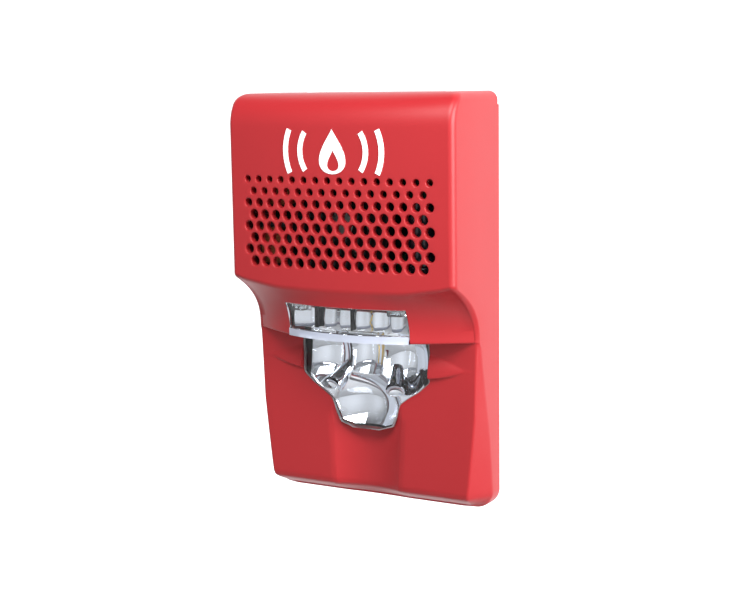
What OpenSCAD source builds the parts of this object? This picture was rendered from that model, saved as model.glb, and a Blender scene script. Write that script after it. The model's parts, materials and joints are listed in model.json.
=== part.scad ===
// Wall-mounted horn strobe for a one-gang box. Millimetres, +Z up, wall plane at y = 0,
// front towards -Y, origin at the centre of the back face.

/* [Case] */
// Width of the cover at the wall
case_w = 70.4; // [70.4:0.2:71]
// Height of the cover
case_h = 114.3; // [114.3:0.1:114.8]
// Depth from the wall to the front of the face
case_d = 28.5; // [28.5:0.1:29.2]
// Wall thickness of the cover
wall = 2; // [1.8:0.1:2]
// Depth of the lower panel in front of the wall plane
panel_d = 12.6; // [12.6:0.1:12.9]

/* [Grille] */
// Distance between hole centres along a row
pitch = 3.7; // [3.6:0.05:3.75]
// Height of the middle of the grille
grille_z = 22.95; // [22.5:0.05:23.3]

/* [Wiring] */
// Distance between the two box screws
gang_pitch = 83.34; // [83.34]
// Width of a box screw slot
gang_slot_w = 4.4; // [4:0.1:4.6]

/* [Motion] */
// Travel of the light-output selector
selector_travel = 6; // [4:0.5:6]

/* [Hidden] */
$fn = 48;
draft = 0.8;             // how far each side wall leans out towards the wall
half_w = case_w / 2 - draft; // half width at the front edge of the side walls
half_h = case_h / 2;
rim_y = -0.1;            // back rim of the cover
relief_y = -0.9;         // rim of the top wall, set forward to swing clear of the wall
relief_z = 53.5;
bow_r = 278;             // radius of the bowed face in plan
bow_k = 1 / (2 * bow_r); // the same bow as a parabola
edge_r = 1.9;            // vertical front edges
top_r = 8.9;             // top front edge, seen from the side
corner_r = 2.6;          // top corners, seen from the front
foot_r = 5;              // bottom corners, seen from the front
split_z = 9;             // plain upper box above, sculpted panel below
tuck_h = 0.6;            // how far the panel's top row is tucked inside the box's wall
arris_z = 4.8;           // low edge of the face at the middle
hood_z = -9.4;           // low edge of the cove
hood_y = -25.5;          // front of the hood at the middle
hood_k = 0.01127;        // bow of the hood in plan
panel_y = -panel_d;
panel_foot_z = -53.1;    // bottom edge of the panel
foot_y = -4.4;           // front edge of the bottom wall
scoop_w = 10.6;          // half width of the upright scoop
nose_h = 1.6;            // height of the noses beside the lens
row_h = pitch * sqrt(3) / 2;
// Bores of the eight grille rows, top row first
row_bore = [1.9, 2.05, 2.4, 2.75, 2.75, 2.8, 2.75, 2.8];
hinge_y = -3.2;
hinge_z = 55;
pin_r = 1;
ear_x = 22;              // middle of a hinge ear
base_top = 51.4;
base_half_w = 32.1;
base_foot = -54.6;
base_t = 2;
board_back = -10.5;      // wall side of the main board
board_t = 1.6;
board_front = board_back - board_t;
strobe_back = -3;
strobe_front = strobe_back - board_t;
horn_z = 22.2;
horn_r = 15;
knob_z = -30;            // middle of the selector's travel
knob_y = -4.6;

// ---------- helpers ----------
// Cylinder along Y from y0 to y1
module rod_y(x, z, r, y0, y1) {
    translate([x, y0, z]) rotate([-90, 0, 0]) cylinder(r = r, h = y1 - y0);
}
// Cylinder along X from x0 to x1
module rod_x(y, z, r, x0, x1) {
    translate([x0, y, z]) rotate([0, 90, 0]) cylinder(r = r, h = x1 - x0);
}
module box(x0, x1, y0, y1, z0, z1) {
    translate([x0, y0, z0]) cube([x1 - x0, y1 - y0, z1 - z0]);
}
module both_sides() {
    children();
    mirror([1, 0, 0]) children();
}
// Extrudes a front-view outline (x, z) from y0 to y1
module front_extrude(y0, y1) {
    translate([0, y1, 0]) rotate([90, 0, 0]) linear_extrude(y1 - y0) children();
}

// ---------- cover: upper box ----------
// Plan outline of the box, bowed front with rounded vertical edges, shrunk by i
module plan(i) {
    w = half_w - i;
    r = edge_r - i * 0.5;
    big = bow_r - i;
    cy = bow_r - case_d;
    cx = w - r;
    corner_y = cy - sqrt(pow(big - r, 2) - cx * cx);
    touch_x = cx * big / (big - r);
    intersection() {
        translate([0, cy]) circle(r = big, $fn = 200);
        translate([-touch_x, -case_d - 1]) square([2 * touch_x, case_d + 1]);
    }
    for (s = [-1, 1]) translate([s * cx, corner_y]) circle(r = r);
    polygon([[-w, corner_y], [w, corner_y], [w + draft, 0], [-w - draft, 0]]);
}
// Side profile (y, z) of the box with the big top roundover, shrunk by i
module side_profile(i) {
    r = top_r - i;
    top = half_h - i;
    front = -case_d + i;
    translate([front + r, top - r]) circle(r = r, $fn = 96);
    translate([front + r, split_z - 1]) square([-front - r, top - split_z + 1]);
    translate([front, split_z - 1]) square([r, top - r - split_z + 1]);
}
// Front outline (x, z) of the box with rounded top corners, shrunk by i
module top_outline(i) {
    w = half_w + draft - i;
    r = corner_r - i * 0.8;
    top = half_h - i;
    for (s = [-1, 1]) translate([s * (w - r), top - r]) circle(r = r);
    translate([-w, split_z]) square([2 * w, top - r - split_z]);
    translate([-w + r, split_z]) square([2 * (w - r), top - split_z]);
}
module upper_solid(i) {
    intersection() {
        translate([0, 0, split_z]) linear_extrude(half_h - split_z + 1) plan(i);
        rotate([90, 0, 90]) translate([0, 0, -half_w - 2]) linear_extrude(case_w + 4)
            side_profile(i);
        front_extrude(-case_d - 1, 1) top_outline(i);
    }
}
function grille_x(row, c) = row % 2 == 0 ? (c - 7.5) * pitch : (c - 7) * pitch;
module grille_holes() {
    for (row = [0:7], c = [0:(row % 2 == 0 ? 15 : 14)])
        rod_y(grille_x(row, c), grille_z + (3.5 - row) * row_h, row_bore[row] / 2,
              -case_d - 1, -case_d + wall + 4);
}
// Lugs under the top wall that hold the hinge pins
module hinge_lugs() {
    for (s = [-1, 1], x = [18.7, 25.3])
        box(s * x - 1.1, s * x + 1.1, -5.2, -1.2, 53.1, half_h - wall + 0.3);
}
module upper_shell() {
    difference() {
        union() {
            difference() {
                upper_solid(0);
                difference() {
                    upper_solid(wall);
                    box(-case_w, case_w, rim_y - 0.1, 1, split_z - 1, half_h);
                }
                box(-half_w + wall, half_w - wall, relief_y - 0.1, 1, split_z - 1,
                    half_h - wall);
            }
            hinge_lugs();
        }
        box(-case_w, case_w, rim_y, 1, split_z - 1, half_h + 1);
        box(-case_w, case_w, relief_y, 1, relief_z, half_h + 1);
        grille_holes();
        for (s = [-1, 1]) {
            box(s * ear_x - 2.2, s * ear_x + 2.2, -5.6, 0, 50, half_h + 1);
            rod_x(hinge_y, hinge_z, pin_r, s * ear_x - 5.5, s * ear_x + 5.5);
        }
    }
}

// ---------- cover: sculpted lower panel ----------
function lerp(a, b, t) = a + (b - a) * t;
function clamp01(t) = min(1, max(0, t));
function face_y(x) = -case_d + bow_k * x * x;
function arris(x) = arris_z + 0.138 * max(0, abs(x) - 19.2);
function hood_front(x) = hood_y + hood_k * x * x;
// Cove between the face and the hood edge; s runs from 0 at the arris to 1 at the edge
function cove_y(x, s) = lerp(face_y(x), hood_front(x), 1 - pow(1 - s, 2.5));
// Front edge of the side wall, lower panel
function side_y(z) = z > -25.7 ? lerp(-11.85, -8.45, clamp01((-8.9 - z) / 16.8))
    : z > -36.3 ? lerp(-8.45, -6.2, (-25.7 - z) / 10.6)
    : lerp(-6.2, foot_y, clamp01((-36.3 - z) / 16.6));
// Half width of the flat panel
function panel_w(z) = z > -30 ? lerp(half_w, 33.6, clamp01((-9.4 - z) / 20.6))
    : lerp(33.6, 31, clamp01((-30 - z) / 22));
// Depth of the upright scoop below the lens
function scoop(x, z) = 3.2 * clamp01((-28 - z) / 6) * lerp(1, 0.65, clamp01((-36 - z) / 17))
    * max(0, 1 - pow(x / scoop_w, 2));
// Height of the tapering nose that stands out of the panel on each side of the lens:
// it swells from its upper edge and ends in a small step along its lower edge
function nose(x, z) =
    let (t = clamp01((abs(x) - 18) / 12.8), top = -13.3 - 3.9 * pow(t, 1.5),
         low = -20.1 + 2.8 * t * t, s = (top - z) / (top - low))
    (s <= 0 || s > 1.01) ? 0 : nose_h * pow(1 - t, 0.8) * sin(90 * min(1, 1.15 * s));
function panel_face(x, z) = panel_y + scoop(x, z) - nose(x, z);
// Half width of the outline, shrunk by i, as the bottom corners round off
function outline_w(z, i = 0) = let (r = foot_r - i, d = max(0, r - (z + half_h - i)))
    half_w - foot_r + sqrt(r * r - min(d, r) * min(d, r));

// Columns of surface points left of the middle, mirrored to the right
half_cols = [32.6, 30, 28, 25, 22, 20, 17, 14, 11, 8.5, 6, 3];
cols = concat([for (c = half_cols) -c], [0],
    [for (j = [len(half_cols) - 1:-1:0]) half_cols[j]]);
// Rows of surface points as [kind, value], top to bottom: kind 0 is the plain face,
// 1 the cove, 2 the panel, 3 the bottom bevel
rows = [[0, split_z + tuck_h], [0, 7.4], [1, 0], [1, 0.06], [1, 0.14], [1, 0.25], [1, 0.4],
        [1, 0.6], [1, 0.8], [1, 1], [2, -9.9], [2, -13.3], [2, -14.5], [2, -16],
        [2, -17.3], [2, -18.4], [2, -19.3], [2, -20.1], [2, -20.6], [2, -22], [2, -25.7],
        [2, -28], [2, -31], [2, -34], [2, -36.3],
        [2, -42], [2, -48], [2, -52.1], [2, panel_foot_z], [3, 0.35], [3, 0.7], [3, 1]];
function tuck(r, i) = r[0] == 0 && r[1] > split_z ? (i == 0 ? 0.1 : -0.1) : 0;
function row_z(r, x, i) = r[0] == 0 ? r[1]
    : r[0] == 1 ? lerp(arris(x), hood_z + i, r[1])
    : r[0] == 2 ? r[1] + (r[1] > -10 ? i : 0.45 * i * clamp01((-48 - r[1]) / 5.1))
    : lerp(panel_foot_z + 0.45 * i, -half_h + i, r[1]);
function row_y(r, x, z) = r[0] == 0 ? face_y(x)
    : r[0] == 1 ? cove_y(x, r[1])
    : r[0] == 2 ? panel_face(x, z)
    : lerp(panel_face(x, panel_foot_z), foot_y, pow(r[1], 1.15));
// How far back the inner surface lies, for an even wall on the sloping cove
function back_shift(r, x, i) = r[0] != 1 ? i
    : let (slope = (hood_front(x) - face_y(x)) * 2.5 * pow(1 - r[1], 1.5)
        / (arris(x) - hood_z)) i * min(1.7, sqrt(1 + slope * slope));
// Round vertical edge: centre of its arc, and how far it has faded down the cove
edge_cy = bow_r - case_d - sqrt(pow(bow_r - edge_r, 2) - pow(half_w - edge_r, 2));
function fade(r) = r[0] == 0 ? 1 : r[0] == 1 ? 1 - 0.6 * r[1] : 0;
// Last point of the front surface, and first point of the side wall
function edge_x(r, z) = r[0] < 2 ? half_w - edge_r * 0.293 * fade(r)
    : panel_w(z) - half_w + outline_w(z);
function turn_y(r) = r[0] == 0 ? edge_cy - edge_r * 0.707
    : cove_y(half_w, r[1]) - face_y(half_w) + edge_cy - edge_r * 0.707 * fade(r)
        - edge_r * (1 - fade(r));
// Side wall at depth y, leaning out from half width w at its front edge
function side_x(w, y) = w + draft * clamp01(1 - y / edge_cy);
function edge_y(r, z) = r[0] == 0 ? edge_cy
    : r[0] == 1 ? cove_y(half_w, r[1]) - face_y(half_w) + edge_cy
        - edge_r * (1 - fade(r)) : side_y(z);
// One row of the front surface, shrunk by i, from rim to rim
function row_points(r, i) = let (
        z0 = row_z(r, 0, 0), zw = row_z(r, half_w, 0), zi = row_z(r, half_w, i),
        k = (edge_x(r, z0) - 0.8) / 33.04,
        ki = i == 0 ? k : (edge_x(r, z0) - 0.8 - i) / 33.04,
        t = tuck(r, i), rim = rim_y - abs(t) / 2,
        w = outline_w(zi, i) - t, e = edge_x(r, zw) - i - t,
        ye = (r[0] < 2 ? turn_y(r) : row_y(r, half_w, zw)) + back_shift(r, half_w, i) + t,
        half = [for (c = half_cols) let (x = c * k)
            [c * ki, row_y(r, x, row_z(r, x, 0)) + back_shift(r, x, i) + t,
             row_z(r, x, i)]],
        ys = edge_y(r, zw) + i + t,
        side = concat([[side_x(w, rim), rim, zi], [side_x(w, ys), ys, zi],
            [r[0] < 2 ? e : min(e, side_x(w, ys) - 0.1), ye, zi]], half))
    concat([for (p = side) [-p[0], p[1], p[2]]],
        [[0, row_y(r, 0, z0) + back_shift(r, 0, i) + t, row_z(r, 0, i)]],
        [for (j = [len(side) - 1:-1:0]) side[j]]);
function net(i) = concat([for (r = rows) row_points(r, i)],
    [[for (p = row_points(rows[len(rows) - 1], i)) [p[0], rim_y, -half_h + i]]]);

// Closed solid between two nets of the same size
module net_solid(front, back) {
    m = len(front);
    n = len(front[0]);
    function id(s, i, j) = s * m * n + i * n + j;
    pts = concat([for (r = front, p = r) p], [for (r = back, p = r) p]);
    faces = concat(
        [for (i = [0:m - 2], j = [0:n - 2], t = [0, 1]) t == 0
            ? [id(0, i, j), id(0, i, j + 1), id(0, i + 1, j + 1)]
            : [id(0, i, j), id(0, i + 1, j + 1), id(0, i + 1, j)]],
        [for (i = [0:m - 2], j = [0:n - 2], t = [0, 1]) t == 0
            ? [id(1, i, j), id(1, i + 1, j + 1), id(1, i, j + 1)]
            : [id(1, i, j), id(1, i + 1, j), id(1, i + 1, j + 1)]],
        [for (i = [0:m - 2], t = [0, 1]) t == 0
            ? [id(0, i, 0), id(0, i + 1, 0), id(1, i + 1, 0)]
            : [id(0, i, 0), id(1, i + 1, 0), id(1, i, 0)]],
        [for (i = [0:m - 2], t = [0, 1]) t == 0
            ? [id(0, i, n - 1), id(1, i + 1, n - 1), id(0, i + 1, n - 1)]
            : [id(0, i, n - 1), id(1, i, n - 1), id(1, i + 1, n - 1)]],
        [for (j = [0:n - 2], t = [0, 1]) t == 0
            ? [id(0, 0, j), id(1, 0, j + 1), id(0, 0, j + 1)]
            : [id(0, 0, j), id(1, 0, j), id(1, 0, j + 1)]],
        [for (j = [0:n - 2], t = [0, 1]) t == 0
            ? [id(0, m - 1, j), id(0, m - 1, j + 1), id(1, m - 1, j + 1)]
            : [id(0, m - 1, j), id(1, m - 1, j + 1), id(1, m - 1, j)]]);
    polyhedron(points = pts, faces = faces, convexity = 8);
}

// ---------- lens and its opening ----------
window_w = 18.8;         // half width of the upper window in the cove
window_top = 0.1;
lens_t = 1.2;
lens_fit = 0.965;        // lens outline against the opening, leaving room for the gasket
lens_mid_z = -22;
// Right half of the opening in the panel, from the hood down
half_opening = [[20, -8.2], [20.2, -13], [20.1, -17], [20.1, -21.5], [16.7, -24.5],
                [13.9, -26.2], [10.9, -28.4], [9.6, -32.2], [8.2, -35.1], [3.9, -36.4]];
opening = concat(half_opening,
    [for (i = [len(half_opening) - 1:-1:0]) [-half_opening[i][0], half_opening[i][1]]]);
module opening_outline() {
    polygon(opening);
    translate([-window_w, -10]) square([2 * window_w, 10 + window_top]);
}
module scaled_opening(k) {
    translate([0, lens_mid_z]) scale(k) translate([0, -lens_mid_z]) polygon(opening);
}
function opening_w(z) = lookup(-z, [for (p = half_opening) [-p[1], p[0]]]);
function lens_w(z) = z > hood_z - 0.1 ? window_w - 0.15
    : lens_fit * opening_w(lens_mid_z + (z - lens_mid_z) / lens_fit);
lens_foot = lens_mid_z + lens_fit * (-36.3 - lens_mid_z);
// Height of the lens bubble in front of the panel, middle and edges
function bubble(u, z) = 3.2 * (1 - u * u) * sqrt(clamp01((z - lens_foot) / 12));
function window_y(x, z) = cove_y(x, clamp01((arris_z - z) / (arris_z - hood_z)));
lens_u = [-1, -0.93, -0.82, -0.66, -0.5, -0.33, -0.17, 0, 0.17, 0.33, 0.5, 0.66, 0.82, 0.93, 1];
// Rows of the lens: [z, kind], kind 0 window, 1 lip band, 2 shelf under the hood, 3 bubble
lens_rows = [[0, 0], [-2.4, 0], [-4.8, 0], [-7.1, 0], [-7.3, 1], [-9.35, 1],
             [-9.9, 3], [-12, 3], [-15, 3], [-17, 3], [-19.5, 3], [-21.6, 3], [-24.4, 3],
             [-26.1, 3], [-28.2, 3], [-31, 3], [-33.5, 3], [-34.8, 3], [lens_foot, 3]];
function lens_point(r, u, i) = let (w = lens_w(r[0]), x = u * (w - i * 0.2))
    r[1] == 3 ? [x, panel_y - bubble(u, r[0]) + i, r[0] + (r[0] > -10 ? i : 0)]
    : [x, window_y(x, r[0]) + i * 1.15 - (r[1] == 1 ? 0.45 : 0),
       r[0] + (r[1] == 1 && r[0] < -9 ? i : 0)];
// Lugs above the window that the lens screws hold against bosses in the cover
lug_x = 14.8;
lug_z = 2.6;
lug_y = -21.3;
module lens() {
    color("aliceblue", 0.4) difference() {
        union() {
            net_solid([for (r = lens_rows) [for (u = lens_u) lens_point(r, u, 0)]],
                [for (r = lens_rows) [for (u = lens_u) lens_point(r, u, lens_t)]]);
            both_sides() {
                box(lug_x - 2, lug_x + 2, lug_y, lug_y + 1, -1.8, lug_z + 1.8);
                box(lug_x - 2, lug_x + 2, -23.35, lug_y + 1, -1.8, -0.1);
            }
        }
        both_sides() rod_y(lug_x, lug_z, 0.95, -30, -20);
    }
}
module lens_gasket() {
    color("maroon") intersection() {
        front_extrude(-12.3, -11.1) difference() {
            scaled_opening(0.999);
            scaled_opening(lens_fit + 0.004);
        }
        box(-30, 30, -20, 0, -40, -10.4);
    }
}
module lens_screws() {
    color("silver") both_sides() difference() {
        union() {
            rod_y(lug_x, lug_z, 1.7, lug_y + 1, lug_y + 2);
            rod_y(lug_x, lug_z, 0.8, -24.4, lug_y + 1.1);
        }
        box(lug_x - 0.2, lug_x + 0.2, lug_y + 1.5, lug_y + 3, 0, 5);
    }
}

port_front = -5.4;
port_back = -2.2;
port_low = -35;
port_top = -25;
port_gap = 0.05;         // room round the setting window
port_t = 1.8;            // thickness of the setting window
port_proud = 0.4;        // how far it stands out past the front half width
module front_cover() {
    color("firebrick") difference() {
        union() {
            upper_shell();
            net_solid(net(0), net(wall));
            both_sides() rod_y(lug_x, lug_z, 1.5, -25, lug_y - 0.1);
        }
        front_extrude(-case_d - 1, -7) opening_outline();
        // Port for the setting window in the left side wall
        box(-case_w / 2 - 1, -half_w + wall + 1, port_front, port_back, port_low, port_top);
        // Release slot for the latch
        box(-3, 3, -4, -2.6, -half_h - 1, -half_h + wall + 1);
        both_sides() rod_y(lug_x, lug_z, 0.85, -24.6, -20);
    }
}
module setting_window() {
    color("aliceblue", 0.4) box(-half_w - port_proud, -half_w - port_proud + port_t,
        port_front + port_gap, port_back - port_gap, port_low + port_gap, port_top - port_gap);
}
module hinge_pins() {
    color("silver") for (s = [-1, 1])
        rod_x(hinge_y, hinge_z, pin_r - 0.02, s * ear_x - 5.4, s * ear_x + 5.4);
}
// White symbol on the face: a flame between two pairs of sound arcs
symbol_z = 41.9;
function drop(w, h, m) = [for (t = [0:10:350])
    [w * sin(t) * pow(sin(t / 2), m), h / 2 * cos(t)]];
module arc_band(r, t, half_angle) {
    intersection() {
        difference() {
            circle(r = r + t / 2);
            circle(r = r - t / 2);
        }
        polygon([[0, 0], 2 * r * [cos(half_angle), sin(half_angle)],
                 2 * r * [cos(half_angle), -sin(half_angle)]]);
    }
}
module symbol_outline() {
    difference() {
        polygon(drop(5.6, 11.8, 1.4));
        translate([0.2, -2.3]) polygon(drop(2.6, 5.6, 1.6));
    }
    for (s = [0, 1]) mirror([s, 0]) {
        translate([1, 0]) arc_band(9, 1.5, 34);
        translate([1, 0]) arc_band(13.6, 1.5, 25);
    }
}
module printed_symbol() {
    color("white") intersection() {
        front_extrude(-case_d - 1, -20) translate([0, symbol_z]) symbol_outline();
        translate([0, bow_r - case_d, 30]) difference() {
            cylinder(r = bow_r + 0.13, h = 24, $fn = 200);
            translate([0, 0, -1]) cylinder(r = bow_r + 0.01, h = 26, $fn = 200);
        }
    }
}

// ---------- base ----------
main_posts = [[27, 8], [27, 47.5]];
strobe_posts = [[19.5, 5.5], [19.5, -31]];
post_r = 2.4;
screw_r = 1.2;
latch_z = -46.2;
latch_y = -1.2;
latch_r = 0.6;           // pivot barrel of the latch
base_corner = 2.5;
module base_plate() {
    color("dimgray") difference() {
        union() {
            box(-base_half_w, base_half_w, -base_t, 0, base_foot + base_corner, base_top);
            box(base_corner - base_half_w, base_half_w - base_corner, -base_t, 0, base_foot,
                base_top);
            both_sides() rod_y(base_half_w - base_corner, base_foot + base_corner, base_corner,
                -base_t, 0);
            for (s = [-1, 1]) {
                rod_x(hinge_y, hinge_z, 1.9, s * ear_x - 2, s * ear_x + 2);
                box(s * ear_x - 2, s * ear_x + 2, -4.6, -1.4, 50, hinge_z);
                box(s * ear_x - 2, s * ear_x + 2, -4.6, -1, 50, base_top);
            }
            both_sides() {
                for (p = main_posts) rod_y(p[0], p[1], post_r, board_back, -1);
                for (p = strobe_posts) rod_y(p[0], p[1], post_r, strobe_back, -1);
            }
        }
        for (s = [-1, 1]) rod_y(0, s * gang_pitch / 2, gang_slot_w / 2, -base_t - 1, 1);
        box(-18, 18, -base_t - 1, 1, 22, 38);
        box(-3.3, 3.3, -base_t - 1, 1, base_foot - 1, latch_z);
        rod_x(latch_y, latch_z, latch_r + 0.06, -3.3, 3.3);
        for (s = [-1, 1]) rod_x(hinge_y, hinge_z, pin_r + 0.06, s * ear_x - 3, s * ear_x + 3);
        both_sides() {
            for (p = main_posts) rod_y(p[0], p[1], screw_r + 0.05, board_back - 1, -3);
            for (p = strobe_posts) rod_y(p[0], p[1], screw_r + 0.05, strobe_back - 1, -0.8);
        }
    }
}
// Sprung tongue in the foot of the base; its top edge is a barrel that turns in the base
module latch_tab() {
    color("dimgray") {
        rod_x(latch_y, latch_z, latch_r, -2.9, 2.9);
        box(-2.9, 2.9, latch_y - latch_r, latch_y + latch_r, -54.8, latch_z);
        box(-2.6, 2.6, -3.7, -1.8, -54.95, -53.6);
    }
}
module main_board() {
    color("darkgreen") difference() {
        box(-30, 30, board_front, board_back, 4, 51);
        rod_y(0, gang_pitch / 2, 4.4, board_front - 1, board_back + 1);
        both_sides() for (p = main_posts)
            rod_y(p[0], p[1], screw_r + 0.2, board_front - 1, board_back + 1);
        for (x = header_x) rod_y(x, 6.6, 0.5, board_front - 1, board_back + 1);
    }
}
header_x = [-6.35, -3.81, -1.27, 1.27, 3.81, 6.35];
module strobe_board() {
    color("darkgreen") difference() {
        box(-22, 22, strobe_front, strobe_back, -34, 9);
        both_sides() for (p = strobe_posts)
            rod_y(p[0], p[1], screw_r + 0.2, strobe_front - 1, strobe_back + 1);
        for (x = header_x) rod_y(x, 6.6, 0.5, strobe_front - 1, strobe_back + 1);
    }
}
module pan_screw(x, z, face, depth) {
    difference() {
        union() {
            rod_y(x, z, 2.2, face - 1.5, face);
            rod_y(x, z, screw_r, face - 0.1, face + depth);
        }
        box(x - 0.3, x + 0.3, face - 2, face - 0.8, z - 1.7, z + 1.7);
        box(x - 1.7, x + 1.7, face - 2, face - 0.8, z - 0.3, z + 0.3);
    }
}
module board_screws() {
    color("silver") both_sides() {
        for (p = main_posts) pan_screw(p[0], p[1], board_front, 8);
        for (p = strobe_posts) pan_screw(p[0], p[1], strobe_front, 3.4);
    }
}
// Four-way terminal block, screws facing the wall through the wiring window
terminal_x = [-12, -4, 4, 12];
module terminal_block() {
    color("darkslategray") difference() {
        box(-16, 16, board_back, -2.4, 24, 36);
        for (x = terminal_x) {
            box(x - 3, x + 3, -7, -2, 25.5, 34.5);
            box(x - 2, x + 2, -5.9, -2, 23, 26);
            rod_y(x, 30, 1.3, -9.8, -6);
        }
    }
}
module terminal_clamps() {
    color("silver") difference() {
        for (x = terminal_x) box(x - 2.8, x + 2.8, -7, -6, 25.8, 34.2);
        for (x = terminal_x) rod_y(x, 30, 1.3, -8, -5);
    }
}
module terminal_screws() {
    color("gold") for (x = terminal_x) difference() {
        union() {
            rod_y(x, 30, 2.5, -6, -4.4);
            rod_y(x, 30, 1.2, -9.6, -5.9);
        }
        box(x - 0.4, x + 0.4, -5.2, -4, 27, 33);
    }
}
module horn_housing() {
    color("black") difference() {
        union() {
            rod_y(0, horn_z, horn_r, -24.2, board_front);
        }
        rod_y(0, horn_z, 13.4, -25, -18);
        rod_y(0, horn_z, 11, -19, -14);
        for (x = [-4, 4]) rod_y(x, horn_z, 0.6, -15, board_front + 1);
    }
}
module horn_cap() {
    color("black") difference() {
        union() {
            rod_y(0, horn_z, horn_r, -25.3, -24.2);
            rod_y(0, horn_z, 13.3, -24.3, -23.2);
        }
        rod_y(0, horn_z, 4, -26, -23);
        for (a = [0:60:300]) rod_y(8.6 * cos(a), horn_z + 8.6 * sin(a), 1.6, -26, -23);
    }
}
module piezo_disc() {
    color("goldenrod") rod_y(0, horn_z, 13.2, -18.4, -18);
}
module piezo_ceramic() {
    color("whitesmoke") rod_y(0, horn_z, 9, -18.7, -18.4);
}
module horn_leads() {
    color("red") for (x = [-4, 4]) rod_y(x, horn_z, 0.45, -18, board_front);
}
cap_x = 21.5;
cap_y = -18;
module storage_capacitor() {
    color("black") difference() {
        translate([cap_x, cap_y, 9.5]) cylinder(r = 4.7, h = 20);
        translate([cap_x, cap_y, 0]) rotate_extrude() translate([4.9, 11.4]) circle(r = 0.6);
        for (a = [0, 60, 120]) translate([cap_x, cap_y, 29.5]) rotate([0, 0, a])
            cube([7, 0.3, 0.4], center = true);
    }
}
module capacitor_leads() {
    color("silver") for (x = [cap_x - 1.8, cap_x + 1.8]) {
        translate([x, cap_y, 6.2]) cylinder(r = 0.4, h = 3.3);
        rod_y(x, 6.6, 0.4, cap_y, board_front);
    }
}
xfmr_x = -24;
xfmr_z = 15.5;
module transformer_core() {
    color("dimgray") difference() {
        box(xfmr_x - 5, xfmr_x + 5, -19.5, -14.5, xfmr_z - 7, xfmr_z + 7);
        both_sides_of(xfmr_x) box(1.5, 3.5, -20, -14, xfmr_z - 5, xfmr_z + 5);
    }
}
module both_sides_of(x) {
    translate([x, 0, 0]) both_sides() children();
}
module transformer_winding() {
    color("peru") difference() {
        box(xfmr_x - 3.4, xfmr_x + 3.4, -21.6, board_front, xfmr_z - 4.9, xfmr_z + 4.9);
        box(xfmr_x - 1.6, xfmr_x + 1.6, -19.6, -14.4, xfmr_z - 6, xfmr_z + 6);
    }
}
module trigger_coil() {
    color("peru") {
        rod_y(xfmr_x, 30, 3.4, -17.6, -12.7);
        rod_y(xfmr_x, 30, 4, -18.2, -17.6);
        rod_y(xfmr_x, 30, 4, -12.7, board_front);
    }
}
module power_inductor() {
    color("peru") translate([24, board_front - 2, 37.5]) rotate([90, 0, 0])
        rotate_extrude() translate([3.4, 0]) circle(r = 2);
}
module controller_chip() {
    color("black") difference() {
        box(-27, -21, board_front - 1.5, board_front - 0.3, 38, 44);
        rod_y(-26, 43, 0.5, board_front - 2, board_front - 1.3);
    }
}
module chip_pins() {
    color("silver") for (z = [38.8:1.1:43.4], s = [-1, 1])
        box(-24 + s * 3.7 - 0.7, -24 + s * 3.7 + 0.7, board_front - 0.7, board_front,
            z - 0.2, z + 0.2);
}
module small_resistors() {
    color("black") {
        for (i = [0:4]) box(8 + 2.6 * i, 9.6 + 2.6 * i, board_front - 0.6, board_front, 44, 47.2);
        for (i = [0:3]) box(-19, -16, board_front - 0.6, board_front, 38 + 3 * i, 39.6 + 3 * i);
    }
}
module tone_jumpers() {
    color("royalblue") for (x = [-12.4, -8.4]) box(x - 1.2, x + 1.2, board_front - 6,
        board_front, 44.4, 49.4);
}
module header_body() {
    color("black") difference() {
        box(-7.6, 7.6, board_back, strobe_front, 5.3, 7.9);
        for (x = header_x) rod_y(x, 6.6, 0.45, board_back - 1, strobe_front + 1);
    }
}
module header_pins() {
    color("gold") for (x = header_x) rod_y(x, 6.6, 0.4, board_front - 0.8, strobe_back + 0.6);
}

// ---------- strobe ----------
refl_fit = 0.93;
refl_y = -10.9;          // front rim of the reflector, just inside the panel
refl_t = 0.7;
// Bowls as [x, z, half width, half height, depth]
bowls = [[-10.6, -15.5, 9.6, 10.5, 5], [10.6, -15.5, 9.6, 10.5, 5],
         [0, -11, 5.4, 15, 4.6], [0, -29.5, 9.5, 8.6, 5]];
function bowl(b, x, z) = b[4] * max(0,
    1 - pow((x - b[0]) / b[2], 2) - pow((z - b[1]) / b[3], 2));
function refl_w(z) = z > hood_z ? 17.8
    : refl_fit * opening_w(lens_mid_z + (z - lens_mid_z) / refl_fit);
function refl_front(x, z) = refl_y + min(5.2, max([for (b = bowls) bowl(b, x, z)]));
refl_foot = lens_mid_z + refl_fit * (-36 - lens_mid_z);
refl_u = [for (j = [-10:10]) j / 10];
refl_rows = [-0.6, -3, -5.5, -8, -9.3, -9.6, -12, -14, -16, -18, -20, -21.6, -23.5, -25.5,
             -27.5, -29.5, -31.5, -33.2, refl_foot];
function refl_point(z, u, i) = let (w = refl_w(z), x = u * w)
    [x, refl_front(x, z) + i, z];
module reflector() {
    color("gainsboro") difference() {
        union() {
            net_solid([for (z = refl_rows) [for (u = refl_u) refl_point(z, u, 0)]],
                [for (z = refl_rows) [for (u = refl_u) refl_point(z, u, refl_t)]]);
            // Roof and cheeks inside the hood
            box(-17.8, 17.8, -19.5, refl_y + 0.4, -1.2, -0.5);
            both_sides() {
                box(17.1, 17.8, -19.5, refl_y + 0.4, -7.9, -0.5);
                box(12, 15, refl_y + refl_t - 0.1, strobe_front, -1.2, 0.4);
            }
        }
        rod_x(tube_y, tube_z, 2.1, -30, 30);
    }
}
tube_y = -14.6;
tube_z = -6.2;
tube_len = 30;
module flash_tube() {
    color("lavender", 0.5) difference() {
        rod_x(tube_y, tube_z, 1.5, -tube_len / 2, tube_len / 2);
        rod_x(tube_y, tube_z, 0.9, -tube_len / 2 - 1, tube_len / 2 + 1);
    }
}
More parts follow.
